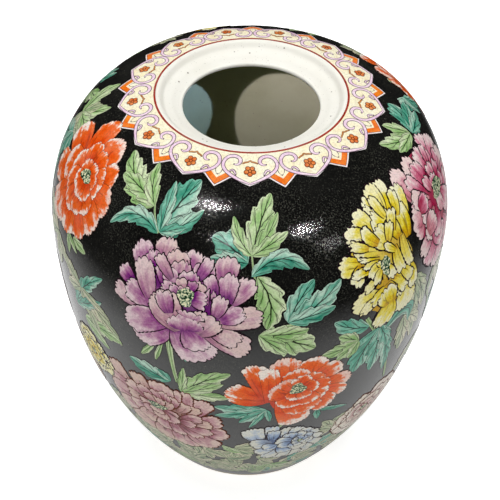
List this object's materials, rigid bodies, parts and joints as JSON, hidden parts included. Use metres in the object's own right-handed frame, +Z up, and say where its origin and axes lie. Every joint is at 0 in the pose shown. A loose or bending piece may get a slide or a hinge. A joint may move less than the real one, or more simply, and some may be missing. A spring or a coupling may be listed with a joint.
{
  "type": "ginger jar",
  "caption": "Ovoid porcelain ginger jar with a wide shoulder, a sunk lid seat around a round mouth and a narrow turned foot, for storage or display.",
  "frame": {"origin": "centre of the foot's resting face, on the surface the jar stands on", "axes": "+Z up along the jar's axis, -Y towards the front of the decoration, +X to the front's right"},
  "size_m": [0.262, 0.262, 0.3],
  "materials": {
    "black_ground": "glossy black enamel ground, faintly speckled",
    "white_porcelain": "thin white glaze with iron specks",
    "bare_biscuit": "unglazed turned porcelain",
    "inner_glaze": "grey-green satin liner glaze",
    "purple_enamel": "glossy brushed enamel, purple to pale lilac",
    "orange_enamel": "glossy brushed enamel, orange to white",
    "yellow_enamel": "glossy brushed enamel, yellow to cream",
    "pink_enamel": "glossy brushed enamel, crimson pink to pale pink",
    "mauve_enamel": "glossy brushed enamel, dusty mauve to white",
    "blue_enamel": "glossy brushed enamel, pale blue to white",
    "leaf_green_enamel": "glossy light green enamel",
    "teal_enamel": "glossy translucent teal enamel",
    "cream_enamel": "opaque cream enamel",
    "pale_pink_enamel": "opaque pale pink enamel",
    "iron_red_line": "thin iron-red enamel line",
    "ink_line": "dark brush line under the enamels"
  },
  "bodies": {
    "root": {"lower_section": "black_ground", "upper_section": "black_ground", "lid_seat_ring": "white_porcelain", "luting_seam": "inner_glaze", "base_floor": "inner_glaze", "foot_ring": "bare_biscuit"}
  },
  "joints": []
}
